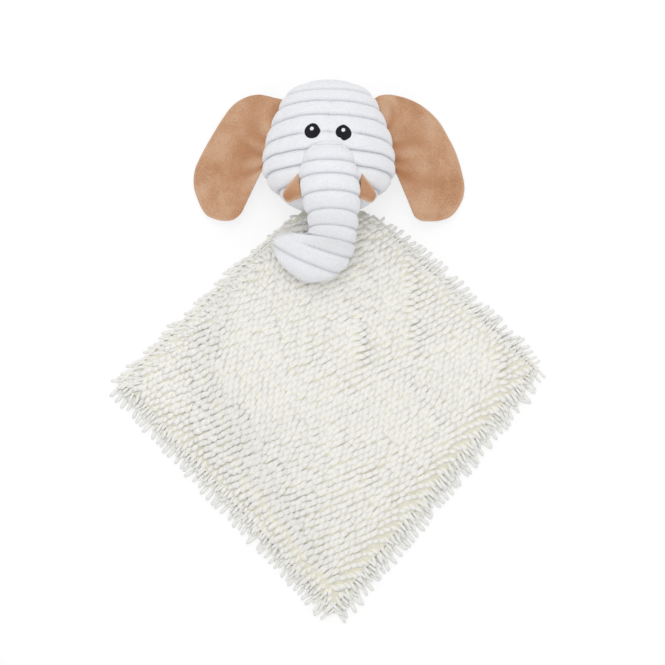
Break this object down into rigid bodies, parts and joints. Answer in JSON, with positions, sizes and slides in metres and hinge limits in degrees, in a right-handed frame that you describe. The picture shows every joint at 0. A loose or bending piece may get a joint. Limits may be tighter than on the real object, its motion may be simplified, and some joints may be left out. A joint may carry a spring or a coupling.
{
  "type": "comfort blanket lovey",
  "caption": "Plush elephant head with floppy ears, tusks and a curled trunk, stitched to the gathered corner of a square noodle chenille blanket.",
  "frame": {"origin": "middle of the blanket's underside, on the surface it lies on", "axes": "+Z out of the blanket's front, +Y towards the head's crown, +X to the viewer's right"},
  "size_m": [0.3997, 0.4849, 0.1103],
  "materials": {
    "corduroy": "wide-wale corduroy",
    "tan_plush": "short velour",
    "white_plush": "short velour",
    "noodle": "noodle chenille",
    "backing": "knitted",
    "filling": "loose polyester fibre",
    "black_thread": "satin stitch",
    "white_thread": "satin stitch"
  },
  "bodies": {
    "blanket": {"blanket_front_ply": "noodle", "blanket_back_ply": "backing", "hem_noodles_upper_left": "noodle", "hem_noodles_upper_right": "noodle", "hem_noodles_lower_left": "noodle", "hem_noodles_lower_right": "noodle"},
    "neck": {"neck_tuck": "backing"},
    "head": {"face_panel_left": "corduroy", "face_panel_right": "corduroy", "head_back_panel": "corduroy", "head_stuffing": "filling", "eye_left": "black_thread", "eye_right": "black_thread", "eye_highlight_left": "white_thread", "eye_highlight_right": "white_thread"},
    "trunk": {"trunk_cover": "corduroy", "trunk_stuffing": "filling"},
    "ear_left": {"ear_front_left": "tan_plush", "ear_back_left": "white_plush"},
    "ear_right": {"ear_front_right": "tan_plush", "ear_back_right": "white_plush"},
    "tusk_left": {"tusk_cover_left": "tan_plush", "tusk_stuffing_left": "filling"},
    "tusk_right": {"tusk_cover_right": "tan_plush", "tusk_stuffing_right": "filling"}
  },
  "joints": [
    {"name": "neck_swing", "type": "hinge", "parent": "blanket", "child": "neck", "pos_m": [0, 0.164, 0.016], "axis": [0, 0, 1], "range_deg": [-12, 12]},
    {"name": "neck_tilt", "type": "hinge", "parent": "neck", "child": "head", "pos_m": [0, 0.164, 0.016], "axis": [1, 0, 0], "range_deg": [-60, 0]},
    {"name": "trunk_lift", "type": "hinge", "parent": "head", "child": "trunk", "pos_m": [0, 0.211, 0.09503], "axis": [-1, 0, 0], "range_deg": [0, 52]},
    {"name": "ear_flap_left", "type": "hinge", "parent": "head", "child": "ear_left", "pos_m": [-0.05278, 0.22918, 0.044], "axis": [0.2752, 0.9614, 0], "range_deg": [-10, 75]},
    {"name": "ear_flap_right", "type": "hinge", "parent": "head", "child": "ear_right", "pos_m": [0.05278, 0.22918, 0.044], "axis": [0.2752, -0.9614, 0], "range_deg": [-10, 75]},
    {"name": "tusk_flex_left", "type": "hinge", "parent": "head", "child": "tusk_left", "pos_m": [-0.02553, 0.1765, 0.09177], "axis": [0, 1, 0], "range_deg": [0, 40]},
    {"name": "tusk_flex_right", "type": "hinge", "parent": "head", "child": "tusk_right", "pos_m": [0.02805, 0.1765, 0.0905], "axis": [0, -1, 0], "range_deg": [0, 40]}
  ]
}
